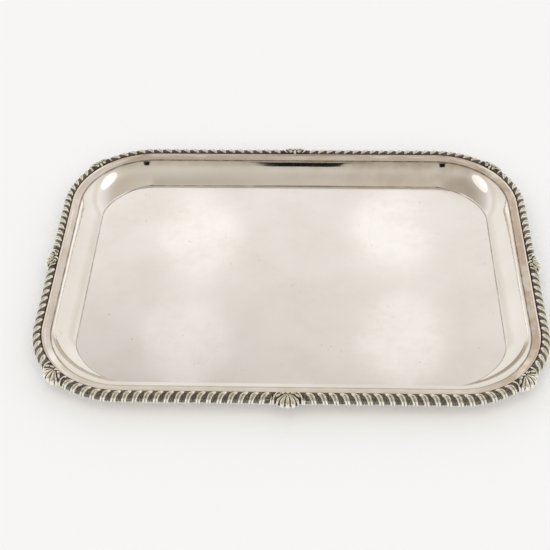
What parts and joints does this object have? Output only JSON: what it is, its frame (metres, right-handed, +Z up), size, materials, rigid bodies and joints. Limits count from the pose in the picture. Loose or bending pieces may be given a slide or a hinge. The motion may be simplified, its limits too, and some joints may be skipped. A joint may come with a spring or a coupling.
{
  "type": "serving tray",
  "caption": "Shallow oblong silver-plated salver with a flat well, hollow wall and a gadrooned border with shell mounts at the sides and corners.",
  "frame": {"origin": "middle of the flat base, on the surface the salver stands on", "axes": "+X along the salver's length, +Y across it to the rear, +Z up"},
  "size_m": [0.4024, 0.3056, 0.0217],
  "materials": {
    "polished_silver": "satin polish with fine scratches",
    "fillet_silver": "worn polish",
    "oxidised_silver": "polished ridges over dark oxidised hollows",
    "solder_filling": "dull cast"
  },
  "bodies": {
    "root": {"tray_body": "polished_silver", "inner_fillet_wire": "fillet_silver", "edge_wire": "fillet_silver", "gadroon_front_right": "oxidised_silver", "gadroon_front_left": "oxidised_silver", "gadroon_rear_right": "oxidised_silver", "gadroon_rear_left": "oxidised_silver", "gadroon_right_front": "oxidised_silver", "gadroon_right_rear": "oxidised_silver", "gadroon_left_front": "oxidised_silver", "gadroon_left_rear": "oxidised_silver", "shell_front": "oxidised_silver", "shell_rear": "oxidised_silver", "shell_right": "oxidised_silver", "shell_left": "oxidised_silver", "shell_corner_front_right": "oxidised_silver", "shell_corner_front_left": "oxidised_silver", "shell_corner_rear_right": "oxidised_silver", "shell_corner_rear_left": "oxidised_silver", "filling_front_right": "solder_filling", "filling_front_left": "solder_filling", "filling_rear_right": "solder_filling", "filling_rear_left": "solder_filling", "filling_right_front": "solder_filling", "filling_right_rear": "solder_filling", "filling_left_front": "solder_filling", "filling_left_rear": "solder_filling", "shell_filling_front": "solder_filling", "shell_filling_rear": "solder_filling", "shell_filling_right": "solder_filling", "shell_filling_left": "solder_filling", "shell_filling_corner_front_right": "solder_filling", "shell_filling_corner_front_left": "solder_filling", "shell_filling_corner_rear_right": "solder_filling", "shell_filling_corner_rear_left": "solder_filling"}
  },
  "joints": []
}
